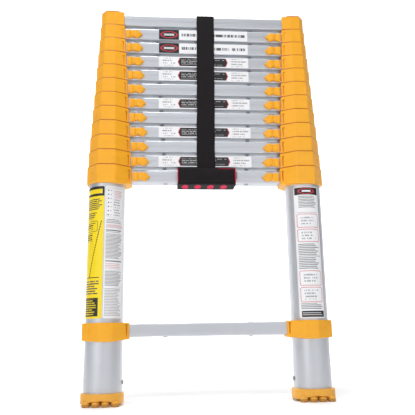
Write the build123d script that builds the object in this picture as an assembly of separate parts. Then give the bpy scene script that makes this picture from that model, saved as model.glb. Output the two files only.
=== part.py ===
"""Telescoping ladder, collapsed: a base section and eleven sliding sections.

Millimetres, +Z up, front towards -Y, origin on the floor midway between the feet.
Section 1 is the base. Section n is carried inside section n - 1 and its collars hold rung n + 1.
"""
import os

from build123d import *

os.makedirs("parts", exist_ok=True)

# Overall sizes
SECTIONS = 12
COLUMN_SPACING = 402.0  # between the two tube axes
RUNG_STEP = 305.0  # from rung to rung when extended, 12 in
BOTTOM_RUNG_Z = 136.0

# Tubes
BASE_TUBE_R = 36.0
TUBE_WALL = 1.4
TUBE_GAP = 0.4  # radial gap between one tube and the next
TUBE_OVERLAP = 70.0  # tube left below the rung of the section outside when extended

# Rungs
RUNG_DEPTH = 30.0
RUNG_HEIGHT = 25.2
RUNG_WALL = 1.6
RUNG_CORNER_R = 3.0
RUNG_GAP = 6.5  # between stacked rungs
RUNG_END_GAP = 1.2  # from the end of a rung to the tube
TREAD_RIBS = 7
TREAD_RIB_PITCH = 3.2
TREAD_RIB_WIDTH = 1.4
TREAD_RIB_HEIGHT = 0.5
FRONT_GROOVES = (-1.5, 1.5)  # heights of the fine grooves along the front and back faces
FRONT_GROOVE = 0.5

# Collars
COLLAR_WALL = 4.0
COLLAR_EDGE_R = 3.0
COLLAR_SIDE = 0.3  # half length of the flat outer side, as a share of the half width
COLLAR_CREASE = 0.44  # crease from chamfer to front, this share of the half width outboard
FRONT_CREASE = 0.45  # crease from front to neck, this share of the half width inboard
BOTTOM_SIDE = 0.45
BOTTOM_CREASE = 0.2
COLLAR_SEAM = 0.3
COLLAR_LIP = 1.05  # collar below the bottom of its rung
NECK_REACH = 13.0  # neck beyond the tube, towards the middle
NECK_WALL = 2.4
RUNG_FIT = 0.1
SEAT_FIT = 0.05
SKIRT = 6.75  # extra depth of the lowest stack collar
BOTTOM_COLLAR_SKIRT = 7.35
CAP_RISE = 20.3  # top of the cap above the top rung's axis
CAP_NECK_STEP = 1.8
CAP_CHAMFER = 1.6

# Latches
LATCH_IN = 8.0
LATCH_OUT = TUBE_WALL + TUBE_GAP
PIN_R = 4.0
PIN_FIT = 0.4
BUTTON_START = NECK_REACH + LATCH_OUT + 0.4
BUTTON_LENGTH = 34.8
BUTTON_POINT = 8.7
BUTTON_HEIGHT = RUNG_HEIGHT - 6.2
BUTTON_DEPTH = 7.0
BUTTON_LIFT = 0.4
BUTTON_DROP = 2.2  # middle of the button below the rung's axis
CARRIER_START = NECK_REACH + 5.0
CARRIER_LENGTH = 28.0
STEM_AT = 2.0  # beyond the carrier's start
STEM_LENGTH = 14.0
STEM_HEIGHT = 8.0
SPRING_LENGTH = 14.0
BLOCK_AT = 81.5  # rivet and spring block beyond the tube
BLOCK_LENGTH = 18.0
RIVET_R = 2.5
RIVET_HEAD_R = 4.5
RIVET_HEAD = 1.4

# Feet
FOOT_SIDE = 3.5  # foot beyond the tube, each side
FOOT_FRONT = 6.0  # foot beyond the tube, front and back
FOOT_CORNER_R = 33.0
FOOT_TOP = 23.0
FOOT_FLOOR = 14.0
FOOT_UNDERSIDE = 4.5
ARCH_RISE = 6.5
LUG_R = 7.2
LUG_PITCH_X = 17.6
LUG_PITCH_Y = 34.6
OUTER_LUG_PULL = 0.9  # the outer lugs sit closer to the middle plane
PLUG_TOP = 58.0
FOOT_SCREW_Z = 41.0

# Strap and grip sleeve
STRAP_X = 0.0
STRAP_WIDTH = 38.0
STRAP_THICK = 2.0
STRAP_CLEAR = 0.6
STRAP_END_Z = 10.0  # strap end below the axis of the lowest stacked rung
SLEEVE_LENGTH = 119.0
SLEEVE_WALL = 5.8
SLEEVE_BELOW = 19.0
SLEEVE_ABOVE = 17.0

# Derived sizes
PITCH = RUNG_HEIGHT + RUNG_GAP
TUBE_STEP = TUBE_WALL + TUBE_GAP
COLUMN_X = -COLUMN_SPACING / 2
SEAT_TOP = RUNG_HEIGHT / 2 + COLLAR_LIP
TUBE_BELOW = RUNG_STEP + TUBE_OVERLAP
NECK_HALF = RUNG_DEPTH / 2 + RUNG_FIT + NECK_WALL
FOOT_WIDTH = 2 * (BASE_TUBE_R + FOOT_SIDE)
FOOT_DEPTH = 2 * (BASE_TUBE_R + FOOT_FRONT)

UPWARD = (Align.CENTER, Align.CENTER, Align.MIN)


def outer_radius(section):
    return BASE_TUBE_R - TUBE_STEP * (section - 1)


def rung_z(rung):
    """Height of a rung's axis with the ladder collapsed."""
    if rung == 1:
        return BOTTOM_RUNG_Z
    return BOTTOM_RUNG_Z + RUNG_STEP + PITCH * (rung - 2)


def carrying_section(rung):
    return max(rung - 1, 1)


def box(x, y, z):
    """A box from three (low, high) pairs."""
    size = [high - low for low, high in (x, y, z)]
    middle = [(high + low) / 2 for low, high in (x, y, z)]
    return Pos(*middle) * Box(*size)


def post(x, y, low, high, radius):
    return Pos(x, y, low) * Cylinder(radius, high - low, align=UPWARD)


def bar(x_from, x_to, z, radius):
    """A round bar along X on the rungs' middle plane."""
    return Pos(x_from, 0, z) * Rot(0, 90, 0) * Cylinder(radius, x_to - x_from, align=UPWARD)


def other_side(shape):
    return mirror(shape, about=Plane.YZ)


def both_sides(shapes):
    return shapes + [other_side(s) for s in shapes]


def save(name, solids):
    export_step(Compound(children=solids), f"parts/{name}.step")


def tube(section):
    """Left stile tube, with its pin hole, its stowed lock hole and its extended lock hole."""
    radius = outer_radius(section)
    own_rung = rung_z(section + 1)
    top = own_rung + SEAT_TOP
    bottom = FOOT_FLOOR + 0.2 if section == 1 else own_rung - TUBE_BELOW
    body = post(COLUMN_X, 0, bottom, top, radius)
    body -= post(COLUMN_X, 0, bottom - 1, top + 1, radius - TUBE_WALL)
    heights = []
    if section < SECTIONS:
        heights.append(own_rung)
    if section > 1:
        heights += [own_rung - PITCH, own_rung - RUNG_STEP]
    for z in heights:
        body -= bar(COLUMN_X, COLUMN_X + radius + 5, z, PIN_R + PIN_FIT)
    if section == 1:
        body -= bar(COLUMN_X, COLUMN_X + radius + 5, FOOT_SCREW_Z, 2.6)
    return body


def end_plug(section):
    """Left glide plug in the lower end of a sliding tube."""
    radius = outer_radius(section)
    end = rung_z(section + 1) - TUBE_BELOW
    plug = post(COLUMN_X, 0, end - 3, end - 0.02, radius)
    plug += post(COLUMN_X, 0, end - 0.02, end + 9, radius - TUBE_WALL - 0.1)
    return plug - post(COLUMN_X, 0, end - 4, end + 10, radius / 3)


def rivet_x(rung):
    return COLUMN_X + outer_radius(carrying_section(rung)) + BLOCK_AT


def rung_profile():
    """Section of a rung: hollow, ribbed on the tread, finely grooved front and back."""
    profile = RectangleRounded(RUNG_DEPTH, RUNG_HEIGHT, RUNG_CORNER_R)
    profile -= RectangleRounded(
        RUNG_DEPTH - 2 * RUNG_WALL, RUNG_HEIGHT - 2 * RUNG_WALL, RUNG_CORNER_R - RUNG_WALL
    )
    tread = RUNG_HEIGHT / 2
    channel = TREAD_RIB_PITCH - TREAD_RIB_WIDTH
    for n in range(TREAD_RIBS - 1):
        y = (n - (TREAD_RIBS - 2) / 2) * TREAD_RIB_PITCH
        profile -= Pos(y, tread) * Rectangle(channel, 2 * TREAD_RIB_HEIGHT)
    for z in FRONT_GROOVES:
        for side in (-1, 1):
            cut = Rectangle(2 * FRONT_GROOVE, FRONT_GROOVE)
            profile -= Pos(side * RUNG_DEPTH / 2, z) * cut
    return profile


def rung_bar(rung):
    """One hollow rung, with rivet holes and, above the bottom rung, slots for the latch stems."""
    radius = outer_radius(carrying_section(rung))
    half = -COLUMN_X - radius - RUNG_END_GAP
    z = rung_z(rung)
    profile = Plane.YZ.offset(-half) * rung_profile()
    body = Pos(0, 0, z) * extrude(profile, amount=2 * half)
    cuts = [post(rivet_x(rung), 0, z - RUNG_HEIGHT, z + RUNG_HEIGHT, RIVET_R + 0.1)]
    if 1 < rung <= SECTIONS:
        start = COLUMN_X + radius + CARRIER_START + STEM_AT
        cuts.append(
            box(
                (start - LATCH_OUT - 0.4, start + STEM_LENGTH + LATCH_IN + 0.4),
                (-RUNG_DEPTH, -RUNG_DEPTH / 2 + RUNG_WALL + 1),
                (z - STEM_HEIGHT / 2 - 0.4, z + STEM_HEIGHT / 2 + 0.4),
            )
        )
    for cut in both_sides(cuts):
        body -= cut
    return body


def spring_block(rung):
    """Left spring block inside a rung, held by the rivet."""
    x, z = rivet_x(rung), rung_z(rung)
    across = RUNG_DEPTH / 2 - RUNG_WALL - 0.3
    tall = RUNG_HEIGHT / 2 - RUNG_WALL - 0.3
    block = box(
        (x - BLOCK_LENGTH / 2, x + BLOCK_LENGTH / 2), (-across, across), (z - tall, z + tall)
    )
    block = chamfer(block.edges().filter_by(Axis.X), 1.2)
    return block - post(x, 0, z - tall - 1, z + tall + 1, RIVET_R + 0.1)


def rivet(rung):
    """Left rivet through a rung, with a low head above and below."""
    x, z = rivet_x(rung), rung_z(rung)
    face = RUNG_HEIGHT / 2 + 0.02
    body = post(x, 0, z - face, z + face, RIVET_R)
    upper = post(x, 0, z + face, z + face + RIVET_HEAD, RIVET_HEAD_R)
    upper = fillet(upper.edges().group_by(Axis.Z)[-1], RIVET_HEAD - 0.3)
    lower = post(x, 0, z - face - RIVET_HEAD, z - face, RIVET_HEAD_R)
    lower = fillet(lower.edges().group_by(Axis.Z)[0], RIVET_HEAD - 0.3)
    return body + upper + lower


def collar_outline(radius, side, crease):
    """Plan of a left collar: outer side, chamfer, front facet, then a slant to the neck."""
    half = radius + COLLAR_WALL
    front = [
        (-half, -side * half),
        (-crease * half, -half),
        (FRONT_CREASE * half, -half),
        (radius + NECK_REACH, -NECK_HALF),
    ]
    back = [(x, -y) for x, y in reversed(front)]
    outline = make_face(Polyline(*front, *back, close=True))
    sharp = [v for v in outline.vertices() if v.X < radius]
    return fillet(sharp, COLLAR_EDGE_R)


def collar_blank(radius, low, high, side=COLLAR_SIDE, crease=COLLAR_CREASE):
    outline = Pos(COLUMN_X, 0, low) * collar_outline(radius, side, crease)
    return extrude(outline, amount=high - low)


def neck_cuts(radius, z):
    """The pocket for the rung's end, and the narrow recesses front and back of the neck."""
    side = RUNG_DEPTH / 2 + RUNG_FIT
    tall = RUNG_HEIGHT / 2 + RUNG_FIT
    inner = COLUMN_X + radius + NECK_REACH
    pocket = box((COLUMN_X, inner + 1), (-side, side), (z - tall, z + tall))
    groove_x = (inner - 5.5, inner - 2.5)
    groove_z = (z - RUNG_HEIGHT / 2 + 2.1, z + RUNG_HEIGHT / 2 - 2.1)
    floor = side + NECK_WALL - 0.7
    front = box(groove_x, (-floor - 60, -floor), groove_z)
    back = box(groove_x, (floor, floor + 60), groove_z)
    return [pocket, front, back]


def stack_collar(rung):
    """Left collar on rungs 2 to 12: seats its own tube and guides the tube inside."""
    section = carrying_section(rung)
    radius, z = outer_radius(section), rung_z(rung)
    low = z - SEAT_TOP
    high = low + PITCH - COLLAR_SEAM
    if rung == 2:
        low -= SKIRT
    body = collar_blank(radius, low, high)
    body -= post(COLUMN_X, 0, low - 1, z + SEAT_TOP + 0.05, radius + SEAT_FIT)
    body -= post(COLUMN_X, 0, z, high + 1, outer_radius(section + 1) + TUBE_GAP)
    for cut in neck_cuts(radius, z):
        body -= cut
    return body


def bottom_collar():
    """Left collar that fixes the bottom rung to the base tube."""
    radius, z = BASE_TUBE_R, rung_z(1)
    low = z - SEAT_TOP - BOTTOM_COLLAR_SKIRT
    high = z + SEAT_TOP + 0.55
    body = collar_blank(radius, low, high, BOTTOM_SIDE, BOTTOM_CREASE)
    body -= post(COLUMN_X, 0, low - 1, high + 1, radius + SEAT_FIT)
    for cut in neck_cuts(radius, z):
        body -= cut
    return body


def top_cap():
    """Left closed cap on the top section."""
    radius, z = outer_radius(SECTIONS), rung_z(SECTIONS + 1)
    low, high = z - SEAT_TOP, z + CAP_RISE
    body = collar_blank(radius, low, high)
    inner = COLUMN_X + radius + NECK_REACH
    body -= box((inner - 9, inner + 5), (-60, 60), (high - CAP_NECK_STEP, high + 5))
    body = chamfer(body.edges().group_by(Axis.Z)[-1], CAP_CHAMFER)
    body -= post(COLUMN_X, 0, low - 1, z + SEAT_TOP + 0.05, radius + SEAT_FIT)
    return body - neck_cuts(radius, z)[0]


def latch(rung):
    """Left latch: thumb button with its carrier, lock pin and return spring."""
    section = carrying_section(rung)
    tube_x, z = COLUMN_X + outer_radius(section), rung_z(rung)
    carrier_x = tube_x + CARRIER_START
    carrier_end = carrier_x + CARRIER_LENGTH
    carrier_y = RUNG_DEPTH / 2 - RUNG_WALL - 2.4
    carrier_z = RUNG_HEIGHT / 2 - RUNG_WALL - 2.5
    moulding = box(
        (carrier_x, carrier_end), (-carrier_y, carrier_y), (z - carrier_z, z + carrier_z)
    )

    back = -RUNG_DEPTH / 2 - BUTTON_LIFT
    stem_x = carrier_x + STEM_AT
    moulding += box(
        (stem_x, stem_x + STEM_LENGTH),
        (back - 1, -carrier_y + 1),
        (z - STEM_HEIGHT / 2, z + STEM_HEIGHT / 2),
    )

    start = tube_x + BUTTON_START
    end = start + BUTTON_LENGTH
    middle = z - BUTTON_DROP
    low, high = middle - BUTTON_HEIGHT / 2, middle + BUTTON_HEIGHT / 2
    face = make_face(
        Polyline(
            (start, low),
            (end - BUTTON_POINT, low),
            (end, middle),
            (end - BUTTON_POINT, high),
            (start, high),
            close=True,
        )
    )
    button = extrude(Plane.XZ.offset(-back) * face, amount=BUTTON_DEPTH)
    button = chamfer(button.edges().group_by(Axis.Y)[0], 1.2)
    scoop_at = (start + 0.55 * BUTTON_LENGTH, back - BUTTON_DEPTH - 3.6, low - 5.5)
    button -= Pos(*scoop_at) * Sphere(12)
    moulding += button

    tip = tube_x - LATCH_OUT + TUBE_GAP
    pin_end = carrier_x + 14
    moulding -= bar(carrier_x - 1, pin_end, z, PIN_R + 0.02)
    pin = bar(tip, pin_end - 0.05, z, PIN_R)
    spring = bar(carrier_end + 0.02, carrier_end + SPRING_LENGTH, z, 6.0)
    spring -= bar(carrier_end - 1, carrier_end + SPRING_LENGTH + 1, z, 4.6)
    return [moulding, pin, spring]


def foot():
    """Left foot: a cup round the tube, a plug inside it, an arched underside and round lugs."""
    outline = Pos(COLUMN_X, 0, FOOT_UNDERSIDE) * RectangleRounded(FOOT_WIDTH, FOOT_DEPTH, FOOT_CORNER_R)
    body = extrude(outline, amount=FOOT_TOP - FOOT_UNDERSIDE)
    body = chamfer(body.edges().group_by(Axis.Z)[-1], 1.0)
    half_arch = FOOT_WIDTH / 2 - 5
    arch_r = (half_arch**2 + ARCH_RISE**2) / (2 * ARCH_RISE)
    arch = Cylinder(arch_r, FOOT_DEPTH + 10, rotation=(90, 0, 0))
    body -= Pos(COLUMN_X, 0, FOOT_UNDERSIDE + ARCH_RISE - arch_r) * arch
    body -= post(COLUMN_X, 0, FOOT_FLOOR, FOOT_TOP + 1, BASE_TUBE_R + 0.1)
    plug_r = BASE_TUBE_R - TUBE_WALL - 0.1
    body += post(COLUMN_X, 0, FOOT_FLOOR - 0.5, PLUG_TOP, plug_r)
    body -= post(COLUMN_X, 0, FOOT_FLOOR + 3, PLUG_TOP + 1, plug_r - 4)
    for column in (-1.5, -0.5, 0.5, 1.5):
        for row in (-1, 0, 1):
            x, y = COLUMN_X + column * LUG_PITCH_X, row * LUG_PITCH_Y
            if abs(column) == 1.5:
                y *= OUTER_LUG_PULL
            body += post(x, y, 0, FOOT_FLOOR - 1, LUG_R)
    return body - bar(COLUMN_X, COLUMN_X + plug_r + 1, FOOT_SCREW_Z, 2.6)


def foot_screw():
    """Left foot screw: its head is on the inboard side of the base tube."""
    tube_x = COLUMN_X + BASE_TUBE_R
    shank = bar(tube_x - 9, tube_x + 0.5, FOOT_SCREW_Z, 2.4)
    head = bar(tube_x + 0.3, tube_x + 2.4, FOOT_SCREW_Z, 4.2)
    return shank + chamfer(head.edges().group_by(Axis.X)[-1], 0.8)


def strap():
    """Webbing over the top rung: front run, bridge and back run."""
    front = RUNG_DEPTH / 2 + STRAP_CLEAR
    top = rung_z(SECTIONS + 1) + RUNG_HEIGHT / 2 + STRAP_CLEAR
    end = rung_z(2) - STRAP_END_Z
    x = (STRAP_X - STRAP_WIDTH / 2, STRAP_X + STRAP_WIDTH / 2)
    outer = front + STRAP_THICK
    return [
        box(x, (-outer, -front), (end, top - 0.02)),
        box(x, (-outer, outer), (top, top + STRAP_THICK)),
        box(x, (front, outer), (end, top - 0.02)),
    ]


def grip_sleeve():
    """Padded sleeve round the lowest stacked rung, slotted above for the strap's two runs."""
    z = rung_z(2)
    inner = RUNG_DEPTH / 2 + 2 * STRAP_CLEAR + STRAP_THICK
    outer = inner + SLEEVE_WALL
    x = (STRAP_X - SLEEVE_LENGTH / 2, STRAP_X + SLEEVE_LENGTH / 2)
    body = box(x, (-outer, outer), (z - SLEEVE_BELOW, z + SLEEVE_ABOVE))
    body = fillet(body.edges().filter_by(Axis.X), 5)
    hollow_x = (x[0] - 1, x[1] + 1)
    tall = RUNG_HEIGHT / 2
    body -= box(hollow_x, (-inner, inner), (z - tall - 2.4, z + tall + 0.8))
    slot_x = (STRAP_X - STRAP_WIDTH / 2 - 1.5, STRAP_X + STRAP_WIDTH / 2 + 1.5)
    for side in (-1, 1):
        slot_y = sorted((side * (RUNG_DEPTH / 2 - 0.5), side * inner))
        body -= box(slot_x, slot_y, (z, z + SLEEVE_ABOVE + 5))
    return body


# Base section
save("s01_stile_left", [tube(1)])
save("s01_stile_right", [other_side(tube(1))])
save("s01_bottom_rung", [rung_bar(1)])
save("s01_rung", [rung_bar(2)])
save("s01_spring_blocks", both_sides([spring_block(2)]))
save("s01_rivets", both_sides([rivet(1), rivet(2)]))
save("s01_bottom_collars", both_sides([bottom_collar()]))
save("s01_collars", both_sides([stack_collar(2)]))
save("s01_foot_left", [foot()])
save("s01_foot_right", [other_side(foot())])
save("s01_foot_screws", both_sides([foot_screw()]))
save("s01_grip_sleeve", [grip_sleeve()])

# Sliding sections with latches
for section in range(2, SECTIONS):
    rung = section + 1
    insides = [tube(section), end_plug(section), spring_block(rung), rivet(rung)]
    save(f"s{section:02d}_frame", [rung_bar(rung)] + both_sides(insides))
    save(f"s{section:02d}_collars", both_sides([stack_collar(rung)]))

# Latches, on every section but the top one
for section in range(1, SECTIONS):
    pieces = latch(section + 1)
    save(f"s{section:02d}_latch_left", pieces)
    save(f"s{section:02d}_latch_right", [other_side(p) for p in pieces])

# Top section
top_insides = [tube(SECTIONS), end_plug(SECTIONS), rivet(SECTIONS + 1)]
save(f"s{SECTIONS}_frame", [rung_bar(SECTIONS + 1)] + both_sides(top_insides))
save(f"s{SECTIONS}_caps", both_sides([top_cap()]))
save(f"s{SECTIONS}_strap", strap())
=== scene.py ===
"""Finishing pieces of a collapsed telescoping ladder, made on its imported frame.

The frame gives the tubes, the rungs and every position. This file adds the moulded collars, caps,
latches and feet, the printed labels, the carry strap and the padded grip sleeve. Pieces are worked
out in millimetres and turned into metres when their mesh is made.
"""
import math

import bmesh
import bpy
from mathutils import Matrix, Vector
from mathutils.bvhtree import BVHTree


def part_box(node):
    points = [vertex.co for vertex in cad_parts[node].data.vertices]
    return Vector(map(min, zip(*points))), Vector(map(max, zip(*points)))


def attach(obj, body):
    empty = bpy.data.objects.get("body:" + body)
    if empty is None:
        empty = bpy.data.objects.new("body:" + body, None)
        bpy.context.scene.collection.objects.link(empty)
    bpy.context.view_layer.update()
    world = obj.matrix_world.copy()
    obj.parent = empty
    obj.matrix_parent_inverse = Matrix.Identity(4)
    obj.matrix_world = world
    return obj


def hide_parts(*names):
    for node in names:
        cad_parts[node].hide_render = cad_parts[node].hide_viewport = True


bl_info = {
    "name": "Telescoping ladder pieces",
    "version": (1, 0, 0),
    "blender": (4, 5, 0),
    "location": "3D View > Sidebar > Ladder",
    "description": "Builds the moulded, printed and sewn pieces of a telescoping ladder",
    "category": "Add Mesh",
}

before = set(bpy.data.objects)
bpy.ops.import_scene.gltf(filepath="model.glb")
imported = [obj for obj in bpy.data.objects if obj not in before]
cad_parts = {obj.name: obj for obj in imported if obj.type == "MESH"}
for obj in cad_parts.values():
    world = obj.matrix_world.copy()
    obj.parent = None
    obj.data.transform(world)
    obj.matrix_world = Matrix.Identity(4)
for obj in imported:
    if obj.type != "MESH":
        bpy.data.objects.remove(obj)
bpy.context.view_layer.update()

MM = 0.001
SECTIONS = 12


def node_box(node):
    """A node's lowest and highest corners in millimetres."""
    low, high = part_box(node)
    return low / MM, high / MM


# Positions and sizes read from the frame
STILE_LOW, STILE_HIGH = node_box("s01_stile_left")
COLUMN_X = (STILE_LOW.x + STILE_HIGH.x) / 2
BASE_R = (STILE_HIGH.x - STILE_LOW.x) / 2
RUNG_LOW, RUNG_HIGH = node_box("s01_rung")
RUNG_HALF = (RUNG_HIGH.z - RUNG_LOW.z) / 2
RUNG_FRONT = RUNG_HIGH.y
SECOND_RUNG_Z = (RUNG_LOW.z + RUNG_HIGH.z) / 2
BOTTOM_LOW, BOTTOM_HIGH = node_box("s01_bottom_rung")
BOTTOM_RUNG_Z = (BOTTOM_LOW.z + BOTTOM_HIGH.z) / 2
FIRST_TOP = node_box("s02_collars")[1].z
PITCH = node_box("s03_collars")[1].z - FIRST_TOP
CAP_TOP = node_box("s12_caps")[1].z
SLEEVE_LOW, SLEEVE_HIGH = node_box("s01_grip_sleeve")
STRAP_LOW, STRAP_HIGH = node_box("s12_strap")
FOOT_LOW, FOOT_HIGH = node_box("s01_foot_left")

# Fits and thicknesses that the frame's solids use
TUBE_STEP = 1.8
COLLAR_WALL = 4.0
COLLAR_ABOVE = FIRST_TOP - SECOND_RUNG_Z - PITCH
SEAT_TOP = 13.65
SKIRT = 6.75
BOTTOM_SKIRT = 7.35
NECK_REACH = 13.0
NECK_HALF = 17.5
BUTTON_START = 15.2
BUTTON_LENGTH = 34.8
CARRIER_START = 18.0
CARRIER_LENGTH = 28.0
SPRING_LENGTH = 14.0
RIVET_AT = 81.5
FOOT_RIM = 23.0
TUBE_FIT = 0.05
RUNG_FIT = 0.1

# Corners of the collars' plan, as shares of their half width
COLLAR_SIDE, COLLAR_CREASE = 0.3, 0.44
BOTTOM_SIDE, BOTTOM_CREASE = 0.45, 0.2
FRONT_CREASE = 0.45

# Feet: height of the underside, then spacing, height and radius of the tread lugs
FOOT_UNDER, LUG_PITCH, LUG_TOP, LUG_R = 4.3, 17.6, 11.2, 7.2


def tube_radius(section):
    return BASE_R - TUBE_STEP * (section - 1)


def rung_height(rung):
    """Height of a rung's middle with the ladder collapsed."""
    return BOTTOM_RUNG_Z if rung == 1 else SECOND_RUNG_Z + PITCH * (rung - 2)


def body_name(section):
    return "base" if section == 1 else f"section_{section:02d}"


# ---------------------------------------------------------------- user settings


def colour_property(name, description, default):
    return bpy.props.FloatVectorProperty(
        name=name, description=description, default=default,
        subtype="COLOR", size=3, min=0.0, max=1.0,
    )


def length_property(name, description, default):
    return bpy.props.FloatProperty(
        name=name, description=description, default=default,
        min=0.0, unit="LENGTH", subtype="DISTANCE", precision=5,
    )


class LadderColours(bpy.types.PropertyGroup):
    """Colours of the ladder's finishes"""

    moulding: colour_property(
        "Moulding", "Yellow of the collars, caps and latches", (0.92, 0.415, 0.012))
    # The marks' colour is painted shade: a dark red orange for the floors and sides of the collars'
    # cut slots and arrow marks.
    mark: colour_property("Marks", "Engraved marks of the collars", (0.42, 0.05, 0.006))
    foot: colour_property("Foot", "Yellow of the feet", (0.86, 0.42, 0.045))
    metal: colour_property("Aluminium", "Tubes and rungs", (0.60, 0.62, 0.66))
    steel: colour_property("Steel", "Rivets, screws, pins and springs", (0.36, 0.37, 0.39))
    nylon: colour_property("Nylon", "Spring blocks and glide plugs", (0.02, 0.02, 0.022))
    label_yellow: colour_property("Yellow label", "Ground of the yellow label", (0.93, 0.70, 0.008))
    label_white: colour_property("White label", "Ground of the white labels", (0.86, 0.86, 0.88))
    ink: colour_property("Black ink", "Dark printing on the labels", (0.012, 0.012, 0.014))
    red_ink: colour_property("Red ink", "Red printing on the labels", (0.60, 0.035, 0.06))
    webbing: colour_property("Webbing", "Carry strap", (0.007, 0.0055, 0.0065))
    sleeve: colour_property("Sleeve", "Fabric of the grip sleeve", (0.008, 0.006, 0.0075))
    trim: colour_property("Trim", "Binding and finger pads of the grip sleeve", (0.80, 0.012, 0.085))
    tab: colour_property("Tab", "Woven tab on the sleeve", (0.20, 0.21, 0.18))


class LadderSizes(bpy.types.PropertyGroup):
    """Sizes of the ladder's finishing details"""

    seam_round: length_property("Seam rounding", "Rounding where collars meet", 0.0016)
    cap_round: length_property("Cap rounding", "Rounding of the caps' top edge", 0.0030)
    groove_depth: length_property("Groove depth", "Depth of the slot in each collar neck", 0.0019)
    label_thickness: length_property("Label thickness", "Film thickness of the labels", 0.00014)
    button_depth: length_property("Button depth", "How far a latch button stands out", 0.0070)
    strap_thickness: length_property("Strap thickness", "Thickness of the webbing", 0.0018)
    strap_lean: length_property("Strap lean", "Sideways lean of the strap at the top", 0.0024)
    sleeve_puff: length_property("Sleeve puff", "Crown of the sleeve's padding", 0.0022)
    stitch_pitch: length_property("Stitch pitch", "Length of one stitch and its gap", 0.0036)


# ---------------------------------------------------------------- making meshes


class Solid:
    """Points and faces of a piece while it is made, in millimetres."""

    def __init__(self):
        self.points = []
        self.faces = []

    def loft(self, rings, closed=True, ends=True):
        """Faces between rings that have the same number of points."""
        first, count = len(self.points), len(rings[0])
        for ring in rings:
            self.points.extend(Vector(p) for p in ring)
        for r in range(len(rings) - 1):
            for i in range(count if closed else count - 1):
                a = first + r * count + i
                b = first + r * count + (i + 1) % count
                self.faces.append((a, b, b + count, a + count))
        if ends:
            last = first + (len(rings) - 1) * count
            self.faces.append(tuple(reversed(range(first, first + count))))
            self.faces.append(tuple(range(last, last + count)))
        return self

    def mesh(self, name):
        mesh = bpy.data.meshes.new(name)
        mesh.from_pydata([p * MM for p in self.points], [], self.faces)
        shape = bmesh.new()
        shape.from_mesh(mesh)
        bmesh.ops.recalc_face_normals(shape, faces=shape.faces)
        shape.to_mesh(mesh)
        shape.free()
        return mesh


def rounded(corners, steps=5):
    """A closed line through (x, y, radius) corners, with an arc of that radius at each."""
    line = []
    for i, (x, y, radius) in enumerate(corners):
        here = Vector((x, y))
        before = (Vector(corners[i - 1][:2]) - here).normalized()
        after = (Vector(corners[(i + 1) % len(corners)][:2]) - here).normalized()
        if radius == 0:
            line.append(here)
            continue
        half = before.angle(after) / 2
        centre = here + (before + after).normalized() * radius / math.sin(half)
        start = here + before * radius / math.tan(half) - centre
        sweep = start.angle_signed(here + after * radius / math.tan(half) - centre)
        for step in range(steps + 1):
            turn = Matrix.Rotation(-sweep * step / steps, 2)
            line.append(centre + turn @ start)
    return line


def inset(corners, distance):
    """Rounded corners moved inwards by a distance, their radii with them."""
    points = [Vector(c[:2]) for c in corners]
    area = sum(points[i - 1].cross(p) for i, p in enumerate(points))
    side = 1 if area > 0 else -1
    moved = []
    for i, here in enumerate(points):
        one = (here - points[i - 1]).normalized()
        two = (points[(i + 1) % len(points)] - here).normalized()
        first, second = Vector((-one.y, one.x)) * side, Vector((-two.y, two.x)) * side
        normal = (first + second).normalized()
        place = here + normal * distance / normal.dot(first)
        radius = max(corners[i][2] - distance, 0.04) if corners[i][2] else 0
        moved.append((place.x, place.y, radius))
    return moved


def prism(corners, low, high, low_round=0.0, high_round=0.0, steps=3, lift=None, arc_steps=5):
    """A solid on a plan of (x, y, radius) corners, its lower and upper edges rounded over."""
    levels = [(low, low_round)]
    for step in range(steps - 1, -1, -1) if low_round else []:
        turn = math.pi / 2 * step / steps
        levels.append((low + low_round * (1 - math.sin(turn)), low_round * (1 - math.cos(turn))))
    for step in range(steps) if high_round else []:
        turn = math.pi / 2 * step / steps
        levels.append((high - high_round * (1 - math.sin(turn)), high_round * (1 - math.cos(turn))))
    levels.append((high, high_round))
    rings = []
    for z, distance in levels:
        ring = rounded(inset(corners, distance), arc_steps)
        raised = [z + (lift(p) if lift and z < (low + high) / 2 else 0) for p in ring]
        rings.append([(p.x, p.y, level) for p, level in zip(ring, raised)])
    return Solid().loft(rings)


def cylinder(x, y, low, high, radius, segments=72):
    """An upright round solid."""
    turns = [2 * math.pi * i / segments for i in range(segments)]
    rings = [
        [(x + radius * math.cos(t), y + radius * math.sin(t), z) for t in turns]
        for z in (low, high)
    ]
    return Solid().loft(rings)


def block(x, y, z, edge=0.0):
    """A box from three (low, high) pairs, its upright edges rounded."""
    corners = [(x[0], y[0], edge), (x[1], y[0], edge), (x[1], y[1], edge), (x[0], y[1], edge)]
    return prism(corners, z[0], z[1], edge / 2, edge / 2, 2, arc_steps=4)


def rod(start, end, radius, segments=24, bevel=0.0):
    """A round bar between two points, with its far edge bevelled."""
    start, end = Vector(start), Vector(end)
    along = (end - start).normalized()
    side = along.orthogonal().normalized()
    up = along.cross(side)
    rings = []
    stops = [(start, radius), (end - along * bevel, radius)]
    if bevel:
        stops += [(end - along * bevel * 0.3, radius - bevel * 0.3), (end, radius - bevel)]
    for place, size in stops:
        turns = [2 * math.pi * i / segments for i in range(segments)]
        rings.append([place + side * size * math.cos(t) + up * size * math.sin(t) for t in turns])
    return Solid().loft(rings)


def linked(name, mesh):
    made = bpy.data.objects.new(name, mesh)
    bpy.context.scene.collection.objects.link(made)
    return made


def evaluated(made):
    """The mesh that an object's modifiers give; the object itself is removed."""
    graph = bpy.context.evaluated_depsgraph_get()
    mesh = bpy.data.meshes.new_from_object(made.evaluated_get(graph))
    bpy.data.objects.remove(made)
    return mesh


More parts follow.
